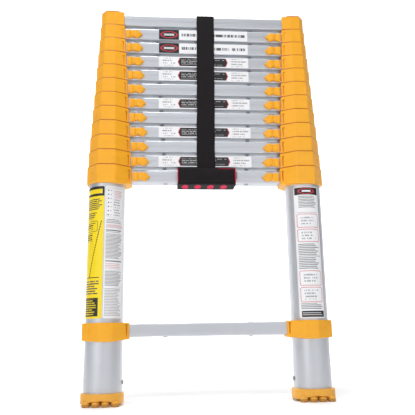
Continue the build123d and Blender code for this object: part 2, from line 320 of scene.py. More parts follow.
def carved(mesh, cutters, operation="DIFFERENCE", finish=0):
    """A mesh with other closed meshes cut from it or joined to it."""
    body = linked("being_cut", mesh)
    tools = []
    for cutter in cutters:
        shape = cutter.mesh("cutter")
        if finish:
            for _ in range(finish + 1):
                shape.materials.append(None)
            shape.polygons.foreach_set("material_index", [finish] * len(shape.polygons))
        tool = linked("cutter", shape)
        cut = body.modifiers.new("cut", "BOOLEAN")
        cut.operation = operation
        cut.solver = "EXACT"
        cut.object = tool
        tools.append(tool)
    result = evaluated(body)
    for tool in tools:
        bpy.data.objects.remove(tool)
    return result


def with_other_side(mesh):
    """Adds the mirror image of a left piece to its mesh."""
    shape = bmesh.new()
    shape.from_mesh(mesh)
    copies = bmesh.ops.duplicate(shape, geom=shape.verts[:] + shape.edges[:] + shape.faces[:])
    faces = [g for g in copies["geom"] if isinstance(g, bmesh.types.BMFace)]
    for vert in (g for g in copies["geom"] if isinstance(g, bmesh.types.BMVert)):
        vert.co.x = -vert.co.x
    bmesh.ops.reverse_faces(shape, faces=faces)
    shape.to_mesh(mesh)
    shape.free()
    return mesh


def shaded(mesh, angle=35.0):
    """Smooth shading that keeps flat faces flat and edges sharper than the angle crisp."""
    mesh.polygons.foreach_set("use_smooth", [True] * len(mesh.polygons))
    mesh.set_sharp_from_angle(angle=math.radians(angle))
    made = linked("being_shaded", mesh)
    even = made.modifiers.new("even", "WEIGHTED_NORMAL")
    even.keep_sharp = True
    return evaluated(made)


def joined(solids):
    """One solid from several that share no faces."""
    total = Solid()
    for solid in solids:
        first = len(total.points)
        total.points += solid.points
        total.faces += [tuple(first + i for i in face) for face in solid.faces]
    return total


def piece(name, mesh, body, material, replaces=(), place=None):
    """Puts a finished mesh in the ladder with its finishes, ties it to its body and hides the nodes
    it replaces.
    """
    made = linked(name, mesh)
    mesh.name = name
    mesh.materials.clear()
    for finish in material if isinstance(material, list) else [material]:
        mesh.materials.append(finish)
    if place:
        made.location = Vector(place) * MM
    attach(made, body)
    if replaces:
        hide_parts(*replaces)
    return made


# ---------------------------------------------------------------- finishes


def math_method(name):
    """A method that adds one Math node of this kind."""
    return lambda self, *others: self.maths(name, *others)


class Value:
    """A number that varies over a surface; sums on it add Math nodes to its finish."""

    def __init__(self, finish, socket):
        self.finish = finish
        self.socket = socket

    def maths(self, kind, *others):
        given = [self, *others]
        return self.finish.node("ShaderNodeMath", {"operation": kind}, dict(enumerate(given)))

    __add__ = __radd__ = math_method("ADD")
    __sub__ = math_method("SUBTRACT")
    __mul__ = __rmul__ = math_method("MULTIPLY")
    __truediv__ = math_method("DIVIDE")
    __gt__ = math_method("GREATER_THAN")
    __lt__ = math_method("LESS_THAN")
    __abs__ = math_method("ABSOLUTE")
    fraction = math_method("FRACT")
    floor = math_method("FLOOR")
    sine = math_method("SINE")
    root = math_method("SQRT")
    turn_from = math_method("ARCTAN2")
    least = math_method("MINIMUM")
    most = math_method("MAXIMUM")

    def __rsub__(self, other):
        return (self * -1) + other

    def within(self, low, high):
        """1 between two numbers and 0 outside them."""
        middle, half = (low + high) / 2, abs(high - low) / 2
        return abs(self - middle) < half


class Finish:
    """A node material that is built up by expressions."""

    def __init__(self, name, **constants):
        self.material = bpy.data.materials.new(name)
        self.material.use_nodes = True
        self.tree = self.material.node_tree
        self.shader = self.tree.nodes["Principled BSDF"]
        for socket, value in constants.items():
            self.shader.inputs[socket.replace("_", " ")].default_value = value

    def node(self, kind, settings=None, sockets=None, output=0):
        """Adds a node: its settings first, then the values or links of its sockets."""
        made = self.tree.nodes.new(kind)
        for key, value in (settings or {}).items():
            if key == "stops":
                ramp = made.color_ramp
                while len(ramp.elements) < len(value):
                    ramp.elements.new(0.5)
                for element, (place, colour) in zip(ramp.elements, value):
                    element.position = place
                    element.color = (*colour, 1.0)
            else:
                setattr(made, key, value)
        for key, value in (sockets or {}).items():
            self.join(made.inputs[key], value)
        return Value(self, made.outputs[output])

    def join(self, socket, value):
        if isinstance(value, Value):
            self.tree.links.new(value.socket, socket)
        elif socket.type == "RGBA":
            socket.default_value = (*value[:3], 1.0)
        else:
            socket.default_value = value

    def feed(self, **sockets):
        """Links or sets sockets of the shader, such as Base_Color."""
        for name, value in sockets.items():
            self.join(self.shader.inputs[name.replace("_", " ")], value)
        return self.material

    def place(self):
        """The x, y and z of the piece's own space, in millimetres, and the vector itself."""
        vector = self.node("ShaderNodeTexCoord", output="Object")
        scaled = self.stretch(vector, (1 / MM,) * 3)
        split = self.node("ShaderNodeSeparateXYZ", sockets={0: scaled})
        outputs = split.socket.node.outputs
        return [Value(self, outputs[i]) for i in range(3)] + [scaled]

    def stretch(self, vector, scale):
        return self.node("ShaderNodeVectorMath", {"operation": "MULTIPLY"}, {0: vector, 1: scale})

    def vector(self, x, y, z):
        return self.node("ShaderNodeCombineXYZ", sockets={0: x, 1: y, 2: z})

    def noise(self, vector, scale, detail=3.0, roughness=0.5):
        return self.node(
            "ShaderNodeTexNoise",
            sockets={"Vector": vector, "Scale": scale, "Detail": detail, "Roughness": roughness},
        )

    def mix(self, factor, first, second):
        """A colour between two others."""
        return self.node(
            "ShaderNodeMix", {"data_type": "RGBA", "clamp_factor": True},
            {0: factor, 6: first, 7: second}, output=2,
        )

    def bump(self, height, strength, distance):
        return self.node(
            "ShaderNodeBump", sockets={"Strength": strength, "Distance": distance, "Height": height}
        )


def tint(colour, share):
    """A colour made lighter or darker by a share."""
    return tuple(min(1.0, c * share) for c in colour)


_made = {}


def kept(make):
    """Each finish is made once, then shared."""

    def finish(*given):
        key = (make.__name__, *given)
        if key not in _made:
            _made[key] = make(*given)
        return _made[key]

    return finish


def colours():
    return bpy.context.scene.ladder_colours


def sizes():
    return bpy.context.scene.ladder_sizes


@kept
def aluminium(tube_edge, plug_top, rung_z):
    """Drawn tubes and extruded rungs; black where the glide plugs are, grey steel on the rivets."""
    finish = Finish(f"aluminium_{rung_z:.0f}", Metallic=0.9, IOR=1.45)
    x, y, z, vector = finish.place()
    on_tube = abs(x) > tube_edge
    along_rung = finish.noise(finish.stretch(vector, (0.004, 1.9, 1.9)), 1.0, 4.0, 0.6)
    along_tube = finish.noise(finish.stretch(vector, (2.1, 2.1, 0.006)), 1.0, 4.0, 0.6)
    streak = along_rung + on_tube * (along_tube - along_rung)
    cloud = finish.noise(vector, 0.02, 2.0)
    wear = finish.noise(finish.stretch(vector, (0.05, 0.4, 0.4)), 1.0, 5.0, 0.7)
    metal = colours().metal
    shade = streak * 0.7 + cloud * 0.3
    colour = finish.mix(shade, tint(metal, 0.90), tint(metal, 1.12))
    colour = finish.mix((wear > 0.68) * 0.5, colour, tint(metal, 0.86))
    rivet_x = tube_edge * -1 + RIVET_AT
    across = abs(abs(x) + rivet_x)
    reach = (across * across + y * y) < 23.0
    rivet = reach * (abs(z - rung_z) > RUNG_HALF + 0.01)
    plug = z < plug_top
    colour = finish.mix(rivet, colour, colours().steel)
    colour = finish.mix(plug, colour, colours().nylon)
    roughness = 0.36 + streak * 0.14 + wear * 0.08
    return finish.feed(
        Base_Color=colour,
        Metallic=0.78 - plug * 0.78,
        Roughness=roughness + plug * 0.15,
        Normal=finish.bump(streak, 0.10, 0.0002),
    )


@kept
def moulding(kind):
    """Moulded plastic: slight flow marks, a fine spark texture and rubbed patches, with painted
    shade along the collars' seams and on the feet's lower lugs.
    """
    colour = {
        "collar": colours().moulding, "foot": colours().foot, "mark": colours().mark,
    }[kind]
    finish = Finish(f"{kind}_moulding", IOR=1.5)
    finish.shader.inputs["Subsurface Weight"].default_value = 0.06
    finish.shader.inputs["Subsurface Radius"].default_value = (0.004, 0.002, 0.0006)
    _, _, z, vector = finish.place()
    flow = finish.noise(finish.stretch(vector, (0.03, 0.03, 0.09)), 1.0, 3.0)
    grain = finish.noise(vector, 2.4, 2.0, 0.6)
    rubbed = finish.noise(vector, 0.11, 5.0, 0.68)
    base = finish.mix(flow, tint(colour, 0.93), tint(colour, 1.07))
    pale = tuple(c + (0.9 - c) * 0.22 for c in colour)
    base = finish.mix((rubbed - 0.6) * 1.6, base, pale)
    if kind == "collar":
        # Painted shade: within 1.9 mm of each seam between stacked collars the colour turns dark
        # orange, for the shade in the crevice.
        rise = (z - FIRST_TOP + PITCH) / PITCH
        seam = (0.5 - abs(rise.fraction() - 0.5)) * PITCH
        near = (1 - seam / 1.9).most(0.0) * (z > SECOND_RUNG_Z - 10)
        base = finish.mix(near * 1.3, base, (0.50, 0.10, 0.008))
    rough = 0.36 + grain * 0.08 + flow * 0.06
    if kind == "foot":
        # Darker noisy patches, stronger towards the bottom of the foot.
        lower_dark_patches = finish.noise(vector, 0.35, 4.0, 0.7)
        low = 1 - (z / 26.0).most(0.0).least(1.0)
        base = finish.mix((lower_dark_patches - 0.45) * low * 1.2, base, tint(colour, 0.55))
        # Painted shade: the ribbed lugs below 5.8 mm, and more so the last 1.2 mm at the floor, turn
        # dark brown for the shade under the foot.
        painted_lug_shade = (z < 5.8) * 0.45 + (z < 1.2) * 0.25
        base = finish.mix(painted_lug_shade, base, (0.16, 0.05, 0.012))
        rough = rough + 0.1
    return finish.feed(Base_Color=base, Roughness=rough, Normal=finish.bump(grain, 0.12, 0.0002))


def moulding_and_painted_recess_shade():
    """The collars' finish, then a darker one that paints shade on the floors and sides of their cut
    marks.
    """
    return [moulding("collar"), moulding("mark")]


@kept
def steel():
    """Zinc plated steel with fine turning marks and dull patches."""
    finish = Finish("plated_steel", Metallic=1.0)
    *_, vector = finish.place()
    turned = finish.noise(finish.stretch(vector, (3.0, 0.4, 0.4)), 1.0, 3.0)
    dull = finish.noise(vector, 0.5, 4.0, 0.6)
    colour = finish.mix(dull, tint(colours().steel, 0.8), tint(colours().steel, 1.3))
    return finish.feed(
        Base_Color=colour, Roughness=0.28 + dull * 0.2, Normal=finish.bump(turned, 0.15, 0.0002)
    )


@kept
def nylon():
    """Black moulded nylon."""
    finish = Finish("black_nylon")
    *_, vector = finish.place()
    grain = finish.noise(vector, 3.0, 2.0)
    cloud = finish.noise(vector, 0.2, 3.0)
    colour = finish.mix(cloud, colours().nylon, tint(colours().nylon, 1.8))
    return finish.feed(
        Base_Color=colour, Roughness=0.45 + grain * 0.1, Normal=finish.bump(grain, 0.2, 0.0001)
    )


def print_rows(finish, across, up, left, right, low, high, pitch, fill, seed):
    """Plain bars in rows with uneven ends and gaps, which stand for printing."""
    row = (up / pitch).floor()
    bar = (up / pitch).fraction().within(0.22, 0.72)
    end = finish.node("ShaderNodeTexWhiteNoise", {"noise_dimensions": "1D"}, {"W": row + seed})
    word = finish.noise(finish.vector(across * 0.42, row * 3.7 + seed, 0.0), 1.0, 0.0)
    inside = across.within(left, right) * up.within(low, high)
    ragged = across < right - end * (right - left) * 0.3
    return bar * inside * ragged * (word > 1 - fill - 0.16)


def rows(finish, across, up, table):
    """Layers of print from (left, right, low, high, pitch, fill, seed, colour) rows."""
    return [(print_rows(finish, across, up, *sizes), colour) for *sizes, colour in table]


def patches(across, up, table):
    """Layers of plain rectangles from (left, right, low, high, colour) rows."""
    return [
        (across.within(left, right) * up.within(low, high), colour)
        for left, right, low, high, colour in table
    ]


def ring_frame(across, up, left, right, low, high, width, corner):
    """A rounded rectangular line."""
    dx = (abs(across - (left + right) / 2) - (right - left) / 2 + corner).most(0.0)
    dy = (abs(up - (low + high) / 2) - (high - low) / 2 + corner).most(0.0)
    return (dx * dx + dy * dy).root().within(corner - width, corner)


def ring(across, up, middle, wide, tall, thin):
    """An oval line round a middle point; thin is the inner edge as a squared share."""
    one, two = (across - middle[0]) / wide, (up - middle[1]) / tall
    return (one * one + two * two).within(thin, 1.0)


def label_finish(ground, layers, finish, vector):
    """Printed film: each layer is (mask, colour), laid over the ground in order."""
    cloud = finish.noise(vector, 0.05, 3.0)
    grain = finish.noise(vector, 1.6, 2.0)
    colour = finish.mix(cloud, tint(ground, 0.95), tint(ground, 1.04))
    for mask, ink in layers:
        colour = finish.mix(mask, colour, ink)
    return finish.feed(
        Base_Color=colour, Roughness=0.38 + grain * 0.08, Normal=finish.bump(grain, 0.06, 0.0001)
    )


def on_tube(finish, column):
    """Distance round a base tube from its front, towards +X, and the height, in millimetres."""
    x, y, z, vector = finish.place()
    return (x - column).turn_from(y * -1) * BASE_R, z, vector


def arc(angle):
    """Distance round a base tube for an angle in degrees."""
    return math.radians(angle) * BASE_R


# Greys and pinks of the small print
GREY, FAINT, MIDDLE_GREY = (0.30, 0.30, 0.31), (0.45, 0.44, 0.45), (0.42, 0.42, 0.43)
DARK_GREY, NEAR_BLACK = (0.22, 0.22, 0.23), (0.12, 0.12, 0.13)
PINK, PINK_BAND = (0.72, 0.50, 0.52), (0.72, 0.58, 0.60)
ALL_ACROSS = 300.0


@kept
def yellow_label():
    """Yellow label: dark band on top, rows, one frame, one slanted line and a dark foot block."""
    finish = Finish("yellow_label")
    u, z, vector = on_tube(finish, COLUMN_X)
    left, right = arc(-88), arc(-9)
    ink, yellow = colours().ink, colours().label_yellow
    lean = u - (arc(-51) + (z - 235.0) * ((arc(-10) - arc(-51)) / 110.0))
    steps = (z / 5.0).fraction().within(0.3, 0.75)
    slant = lean.within(-1.1, 1.1) * z.within(235.0, 345.0)
    layers = patches(u, z, (
        (-ALL_ACROSS, ALL_ACROSS, 394.5, 500.0, ink),
        (left + 3, right, 399.5, 408.5, yellow),
        (arc(-68), arc(-14), 234.0, 235.6, ink),
        (left - 4, arc(-15), 162.0, 196.5, ink),
    ))
    layers += rows(finish, u, z, (
        (left, right, 366, 390, 3.9, 0.62, 1.0, tint(ink, 4)),
        (left, arc(-25), 349, 363, 3.9, 0.55, 5.0, tint(ink, 4)),
        (arc(-76), arc(-28), 328, 341, 4.4, 0.5, 2.0, ink),
        (left, arc(-34), 305, 321, 4.2, 0.6, 7.0, ink),
        (left, right, 203, 229, 4.6, 0.5, 3.0, tint(ink, 6)),
        (left, arc(-17), 164, 194.5, 4.2, 0.62, 9.0, tint(yellow, 0.8)),
    ))
    layers += [
        (ring_frame(u, z, arc(-80), arc(-22), 324, 345, 0.9, 4.0), ink),
        (slant * (steps * 0.5 + 0.5), ink),
    ]
    return label_finish(yellow, layers, finish, vector)


@kept
def white_label():
    """White label beside the yellow one: a framed table on top and close rows below."""
    finish = Finish("white_label")
    u, z, vector = on_tube(finish, COLUMN_X)
    left, right = arc(4), arc(62)
    mark = (z / 8.2).fraction()
    marks = mark.within(0.3, 0.6) * u.within(arc(8), arc(12))
    marks = marks + mark.within(0.35, 0.58) * u.within(arc(17), arc(19))
    layers = [
        (ring_frame(u, z, left, arc(64), 352, 411, 0.5, 3.0), FAINT),
        (marks * z.within(354.0, 408.0), (0.08, 0.08, 0.09)),
    ]
    layers += patches(u, z, ((left, right, 330.5, 337.5, PINK_BAND),))
    layers += rows(finish, u, z, (
        (arc(26), arc(56), 355, 388, 5.2, 0.45, 4.0, FAINT),
        (arc(28), arc(58), 391, 406, 3.2, 0.75, 6.0, PINK),
        (left, right, 340, 349, 3.2, 0.62, 8.0, GREY),
        (left, right, 322, 327, 4.0, 0.7, 2.0, NEAR_BLACK),
        (left, right, 270, 320, 2.6, 0.66, 3.0, GREY),
        (left, right, 263, 268, 4.0, 0.7, 5.0, NEAR_BLACK),
        (left, right, 251, 262, 3.2, 0.8, 1.0, PINK),
        (left, right, 218, 248, 2.6, 0.66, 9.0, GREY),
        (left, right, 162, 214, 2.9, 0.6, 7.0, FAINT),
    ))
    return label_finish(colours().label_white, layers, finish, vector)


@kept
def picture_label():
    """White label of the right tube: dark band, four framed panels, rows, a dark foot block."""
    finish = Finish("picture_label")
    u, z, vector = on_tube(finish, -COLUMN_X)
    left, right, middle = arc(-37), arc(34), arc(-2)
    white, red, ink = colours().label_white, colours().red_ink, colours().ink
    panels = ((331, 359), (302, 328), (216, 245), (184, 213))
    layers = patches(u, z, ((arc(-41), arc(37), 398.5, 413.5, ink),))
    layers.append((ring(u, z, (middle, 406.0), 17.5, 6.2, 0.62), red))
    layers += patches(u, z, (
        (middle - 9, middle + 9, 404.2, 407.8, white),
        (left, right, 361.6, 362.2, DARK_GREY),
        (left, right, 273.2, 274.4, DARK_GREY),
        (arc(-36), arc(37), 155.8, 167.5, ink),
    ))
    layers += [(ring_frame(u, z, left, right, *panel, 1.0, 3.5), red) for panel in panels]
    layers += rows(finish, u, z, (
        (left + 8, right - 8, 336, 355, 6.0, 0.4, 2.0, (0.4, 0.4, 0.41)),
        (left + 8, right - 8, 306, 324, 6.0, 0.4, 5.0, (0.4, 0.4, 0.41)),
        (left + 8, right - 8, 221, 240, 6.0, 0.4, 8.0, (0.4, 0.4, 0.41)),
        (left + 8, right - 8, 189, 208, 6.0, 0.4, 4.0, (0.4, 0.4, 0.41)),
        (left + 5, right - 3, 372, 396, 3.2, 0.6, 3.0, DARK_GREY),
        (left, right, 276, 299, 3.4, 0.62, 6.0, DARK_GREY),
        (left, right, 248, 271, 3.4, 0.62, 7.0, DARK_GREY),
        (left, right, 171, 182, 3.4, 0.6, 9.0, DARK_GREY),
        (arc(-33), arc(33), 158, 166, 3.6, 0.66, 2.0, (0.5, 0.5, 0.5)),
    ))
    return label_finish(white, layers, finish, vector)


@kept
def rung_label(kind, rung_z):
    """Label on a rung's front: a band with a ring, or a dark centre block with grey marks."""
    finish = Finish(f"rung_label_{kind}_{rung_z:.0f}")
    x, _, z, vector = finish.place()
    up = z - rung_z
    ink, red = colours().ink, colours().red_ink
    if kind == "band":
        words = finish.noise(finish.vector(x * 0.45, rung_z, 0.0), 1.0, 0.0)
        line = up.within(-3.2, 3.2) * (x > -49.0) * (words > 0.47) * (x < 88.0)
        layers = [
            (x < -54.6, ink),
            (ring(x, up, (-76.0, 0.0), 18.5, 8.2, 0.68), red),
            (up.within(-2.4, 2.4) * x.within(-87, -65), (0.6, 0.6, 0.6)),
            (line, (0.10, 0.10, 0.11)),
        ]
    else:
        slant = abs(up) * 0.42
        tall = up.within(-9.6, 9.6)
        layers = rows(finish, x, up, (
            (-90, -62, -9, 9, 6.0, 0.42, 2.0, MIDDLE_GREY),
            (56, 90, -9, 9, 6.0, 0.42, 4.0, MIDDLE_GREY),
        ))
        for reach, colour in ((1.6, red), (0.0, ink)):
            inside = (x > slant - (56.0 + reach)) * (x < (48.0 + reach) - slant) * tall
            layers.append((inside, colour))
        layers += rows(finish, x, up, ((-50, 42, -6, 6, 4.0, 0.42, 3.0, MIDDLE_GREY),))
    return label_finish(colours().label_white, layers, finish, vector)


@kept
def weave(kind):
    """Woven cloth: crossed yarns, uneven dye and a soft nap."""
    colour = {
        "webbing": colours().webbing, "sleeve": colours().sleeve,
        "trim": colours().trim, "tab": colours().tab, "thread": tint(colours().tab, 0.2),
    }[kind]
    pitch = {"webbing": 1.5, "sleeve": 0.8, "trim": 0.7, "tab": 0.9, "thread": 0.5}[kind]
    finish = Finish(f"woven_{kind}", IOR=1.45, Specular_IOR_Level=0.22)
    finish.shader.inputs["Sheen Weight"].default_value = 0.02
    finish.shader.inputs["Sheen Roughness"].default_value = 0.5
    x, y, z, vector = finish.place()
    turn = 2 * math.pi / pitch
    warp = ((x + y * 0.5) * turn).sine()
    weft = ((z + y * 0.5) * turn).sine()
    yarn = warp * weft * 0.5 + 0.5
    nap = finish.noise(vector, 1.3, 4.0, 0.7)
    dye = finish.noise(vector, 0.06, 3.0)
    shade = yarn * 0.55 + nap * 0.45
    base = finish.mix(shade, tint(colour, 0.6), tint(colour, 1.9 if kind != "trim" else 1.15))
    base = finish.mix((dye - 0.4) * 0.5, base, tint(colour, 1.6))
    return finish.feed(
        Base_Color=base, Roughness=0.82 - shade * 0.12, Normal=finish.bump(shade, 0.55, 0.0005)
    )


# Where the paper's glow starts towards the wall, over what length, and its lower and upper level
GLOW_START, GLOW_LENGTH = 900.0, 1600.0
DIM, BRIGHT = (0.16, 0.16, 0.16), (1.0, 1.0, 1.0)


@kept
def paper_white():
    """Studio paper that glows towards its wall."""
    finish = Finish("studio_paper", Roughness=0.9)
    finish.shader.inputs["Emission Strength"].default_value = 1.0
    _, y, _, vector = finish.place()
    cloud = finish.noise(vector, 0.0015, 2.0)
    colour = finish.mix(cloud, (0.93, 0.93, 0.93), (0.95, 0.95, 0.95))
    glow = finish.mix((y - GLOW_START) / GLOW_LENGTH, DIM, BRIGHT)
    return finish.feed(Base_Color=colour, Emission_Color=glow)


# ---------------------------------------------------------------- collars, caps and feet


def collar_plan(radius, side=COLLAR_SIDE, crease=COLLAR_CREASE):
    """Plan of a left collar round its tube's axis: outer corner, chamfer, front, slanted neck."""
    half = radius + COLLAR_WALL
    front = [
        (-half, -side * half, 5.0),
        (-crease * half, -half, 3.0),
        (FRONT_CREASE * half, -half, 9.0),
        (radius + NECK_REACH, -NECK_HALF, 0.8),
    ]
    corners = front + [(x, -y, r) for x, y, r in reversed(front)]
    return [(COLUMN_X + x, y, r) for x, y, r in corners]


def neck_pocket(radius, z):
    """The pocket for the rung's end."""
    side, tall = RUNG_FRONT + RUNG_FIT, RUNG_HALF + RUNG_FIT
    end = COLUMN_X + radius + NECK_REACH + 2
    return block((COLUMN_X, end), (-side, side), (z - tall, z + tall))


def tube_seat(radius, low, z):
    """The blind bore in which a tube's upper end sits."""
    return cylinder(COLUMN_X, 0, low - 3, z + SEAT_TOP + TUBE_FIT, radius + TUBE_FIT)


def neck_slots(radius, z, depth):
    """A narrow hooked slot front and back of the neck."""
    inner = COLUMN_X + radius + NECK_REACH
    cutters = []
    for face in (-1, 1):
        floor = NECK_HALF + 1.2 - depth
        reach = sorted((face * floor, face * (floor + 40)))
        cutters.append(block((inner - 5.7, inner - 3.5), reach, (z - 10.2, z + 10.6), 0.4))
        cutters.append(block((inner - 7.6, inner - 5.2), reach, (z + 9.0, z + 10.6)))
    return cutters


def engraved(mesh, cutters):
    """Cuts marks whose floors and sides take the second finish of the piece, a painted shade."""
    for _ in range(2):
        mesh.materials.append(None)
    return carved(mesh, cutters, finish=1)


def arrow_mark(plan, z):
    """A small sunk arrowhead and dash on the outer chamfer, front and back."""
    cutters = []
    for face in (-1, 1):
        near = Vector((plan[0][0] - COLUMN_X, -plan[0][1] * face))
        far = Vector((plan[1][0] - COLUMN_X, -plan[1][1] * face))
        middle = near.lerp(far, 0.5)
        along = (far - near).normalized()
        out = Vector((along.y, -along.x)) * (1 if face < 0 else -1)
        if out.dot(middle) < 0:
            out = -out
        mark = Solid()
        for low, high, wide in ((0.2, 4.8, 2.6), (-4.4, -2.8, 2.2)):
            rings = []
            for depth in (-0.9, 1.5):
                tip = 0.1 if high > 2 else wide
                shape = [(-wide, low), (wide, low), (tip, high), (-tip, high)]
                centre = middle + out * depth
                rings.append([
                    (COLUMN_X + centre.x + along.x * s, centre.y + along.y * s, z + t)
                    for s, t in shape
                ])
            mark = joined([mark, Solid().loft(rings)])
        cutters.append(mark)
    return cutters


def skirt_lift(radius, outer, neck):
    """The skirt's lower edge bows: it is lowest at the front and higher at the sides."""

    def lift(point):
        x = point.x - COLUMN_X
        if x > 0.2 * radius:
            share = (x - 0.2 * radius) / (0.8 * radius + NECK_REACH)
            return neck * share * share
        share = (0.2 * radius - x) / (1.2 * radius + COLLAR_WALL)
        return outer * share * share

    return lift


def stack_collar(rung):
    """Left collar of a stacked rung, seated on its tube and bored for the tube inside."""
    section = max(rung - 1, 1)
    radius, z = tube_radius(section), rung_height(rung)
    low, high = z - SEAT_TOP, z + COLLAR_ABOVE
    lift = None
    if rung == 2:
        low -= SKIRT
        lift = skirt_lift(radius, 2.0, 3.4)
    edge = sizes().seam_round / MM
    body = prism(collar_plan(radius), low, high, edge * 0.7, edge, 3, lift)
    bore = cylinder(COLUMN_X, 0, z, high + 3, tube_radius(section + 1) + 0.4)
    cutters = [tube_seat(radius, low, z), bore, neck_pocket(radius, z)]
    marks = neck_slots(radius, z, sizes().groove_depth / MM) + arrow_mark(collar_plan(radius), z)
    return engraved(carved(body.mesh("collar"), cutters), marks)


def bottom_collar():
    """Left collar that fixes the bottom rung, with a bowed skirt."""
    z = BOTTOM_RUNG_Z
    low, high = z - SEAT_TOP - BOTTOM_SKIRT, z + SEAT_TOP + 0.4
    edge = sizes().seam_round / MM * 0.8
    lift = skirt_lift(BASE_R, 2.6, 5.0)
    plan = collar_plan(BASE_R, BOTTOM_SIDE, BOTTOM_CREASE)
    body = prism(plan, low, high, edge, edge, 3, lift)
    bore = cylinder(COLUMN_X, 0, low - 3, high + 3, BASE_R + TUBE_FIT)
    marks = neck_slots(BASE_R, z, sizes().groove_depth / MM) + arrow_mark(plan, z)
    return engraved(carved(body.mesh("bottom_collar"), [bore, neck_pocket(BASE_R, z)]), marks)


def top_cap():
    """Left closed cap: a rounded crown, a slightly lower neck and the bore for its tube."""
    radius, z = tube_radius(SECTIONS), rung_height(SECTIONS + 1)
    low, round_over = z - SEAT_TOP, sizes().cap_round / MM
    plan = collar_plan(radius)
    neck = prism(plan, low, CAP_TOP - 1.8, sizes().seam_round / MM * 0.7, round_over, 4)
    half = radius + COLLAR_WALL
    step_x = radius + NECK_REACH - 9.5
    inner = COLUMN_X + radius + NECK_REACH
    crease = FRONT_CREASE * half
    step_y = half - (half - NECK_HALF) * (step_x - crease) / (inner - COLUMN_X - crease)
    left = [c for c in plan if c[0] < COLUMN_X + radius]
    front = [c for c in left if c[1] < 0] + [(COLUMN_X + step_x, -step_y, 2.0)]
    crown_plan = [(x, y * 0.996, r) for x, y, r in front]
    crown_plan += [(x, -y, r) for x, y, r in reversed(crown_plan)]
    crown = prism(crown_plan, low + 6, CAP_TOP, 0.0, round_over, 4)
    mesh = carved(neck.mesh("cap"), [crown], "UNION")
    return carved(mesh, [tube_seat(radius, low, z), neck_pocket(radius, z)])


def foot():
    """Left foot: a cup with an arched underside, and ribbed round lugs with domed front ends."""
    half_x = (FOOT_HIGH.x - FOOT_LOW.x) / 2
    half_y = (FOOT_HIGH.y - FOOT_LOW.y) / 2
    radius = min(half_x, half_y) - 6.0
    corners = [(-half_x, -half_y), (half_x, -half_y), (half_x, half_y), (-half_x, half_y)]
    plan = [(COLUMN_X + x, y, radius) for x, y in corners]
    cup = prism(plan, FOOT_UNDER, FOOT_RIM, 1.2, 1.6, 3, arc_steps=14)
    span, rise = half_x - 4.0, 6.8
    arch_r = (span * span + rise * rise) / (2 * rise)
    axis_z = FOOT_UNDER + rise - arch_r
    arch = rod((COLUMN_X, -half_y - 8, axis_z), (COLUMN_X, half_y + 8, axis_z), arch_r, 160)
    bore = cylinder(COLUMN_X, 0, 14.0, FOOT_RIM + 4, BASE_R + 0.1)
    mesh = carved(cup.mesh("foot"), [arch, bore])
    lugs = []
    for column in (-1.5, -0.5, 0.5, 1.5):
        for row in (-1, 0, 1):
            outer = abs(column) == 1.5
            x = COLUMN_X + column * LUG_PITCH
            y = row * (half_y - 6.6 - (3.2 if outer else 0.0))
            lugs.append(ribbed_lug(x, y, LUG_TOP))
    return carved(mesh, [joined(lugs)], "UNION")


def ribbed_lug(x, y, top):
    """A round tread lug with upright ribs low down and a domed top."""
    flutes, count, wide = 14, 84, LUG_R
    rings = []
    levels = [
        (0.0, wide - 0.7, 0.0), (0.5, wide, 0.9), (5.4, wide, 0.9),
        (6.2, wide, 0.0), (top - 4.6, wide, 0.0),
    ]
    for step in range(1, 5):
        turn = math.pi / 2 * step / 5
        levels.append((top - 4.6 + 4.6 * math.sin(turn), wide * math.cos(turn), 0.0))
    for z, radius, rib in levels:
        ring = []
        for i in range(count):
            turn = 2 * math.pi * i / count
            size = radius - rib * (0.5 - 0.5 * math.cos(turn * flutes))
            ring.append((x + size * math.cos(turn), y + size * math.sin(turn), z))
        rings.append(ring)
    return Solid().loft(rings)


# ---------------------------------------------------------------- latches


def between(table, at):
    """A smooth value from a table of (place, value) pairs."""
    for (a, first), (b, second) in zip(table, table[1:]):
        if at <= b:
            share = (at - a) / (b - a)
            share = share * share * (3 - 2 * share)
            return first + (second - first) * share
    return table[-1][1]


BUTTON_TOP = [
    (0, 6.4), (0.06, 7.0), (0.22, 7.0), (0.34, 6.4), (0.46, 6.8), (0.72, 6.9), (0.76, 6.6)]
BUTTON_LOW = [(0, -10.8), (0.07, -12.0), (0.22, -11.0), (0.42, -8.2), (0.6, -10.6), (0.76, -11.6)]
BUTTON_OUT = [
    (0, 0.8), (0.12, 1.0), (0.24, 0.95), (0.35, 0.6), (0.48, 0.86), (0.62, 0.93), (0.8, 0.7),
    (1, 0.38),
]


def button():
    """Thumb button: two lumps with a saddle between them, pointed towards the middle."""
    depth = sizes().button_depth / MM
    back = -RUNG_FRONT - 0.4
    rings = []
    stations = 34
    point = 0.76
    for i in range(stations + 1):
        at = i / stations
        high, low = between(BUTTON_TOP, min(at, point)), between(BUTTON_LOW, min(at, point))
        if at > point:
            closing = (at - point) / (1 - point)
            middle = -2.2
            high += (middle + 0.9 - high) * closing
            low += (middle - 0.9 - low) * closing
        front = back - depth * between(BUTTON_OUT, at)
        if at < 0.06:
            high, low = high - 0.8 * (1 - at / 0.06), low + 0.8 * (1 - at / 0.06)
            front += 0.8 * (1 - at / 0.06)
        corner = min(2.6, (high - low) * 0.42, (back - front) * 0.8)
        crown = 0.5 * min(1.0, (high - low) / 14)
        under = min(3.8, (high - low) * 0.42, (back - front) * 0.8)
        ring = [(back, low + 0.3), (back - 0.6, low)]
        for step in range(5):
            turn = math.pi / 2 * step / 4
            ring.append((front + under * (1 - math.sin(turn)), low + under * (1 - math.cos(turn))))
        ring.append((front - crown, (high + low) / 2 - 1.5))
        ring.append((front - crown, (high + low) / 2 + 1.5))
        for step in range(5):
            turn = math.pi / 2 * step / 4
            ring.append(
                (front + corner * (1 - math.cos(turn)), high - corner * (1 - math.sin(turn))))
        ring += [(back - 0.6, high), (back, high - 0.3)]
        x = BUTTON_START + BUTTON_LENGTH * at
        rings.append([(x, y, z) for y, z in ring])
    return Solid().loft(rings)


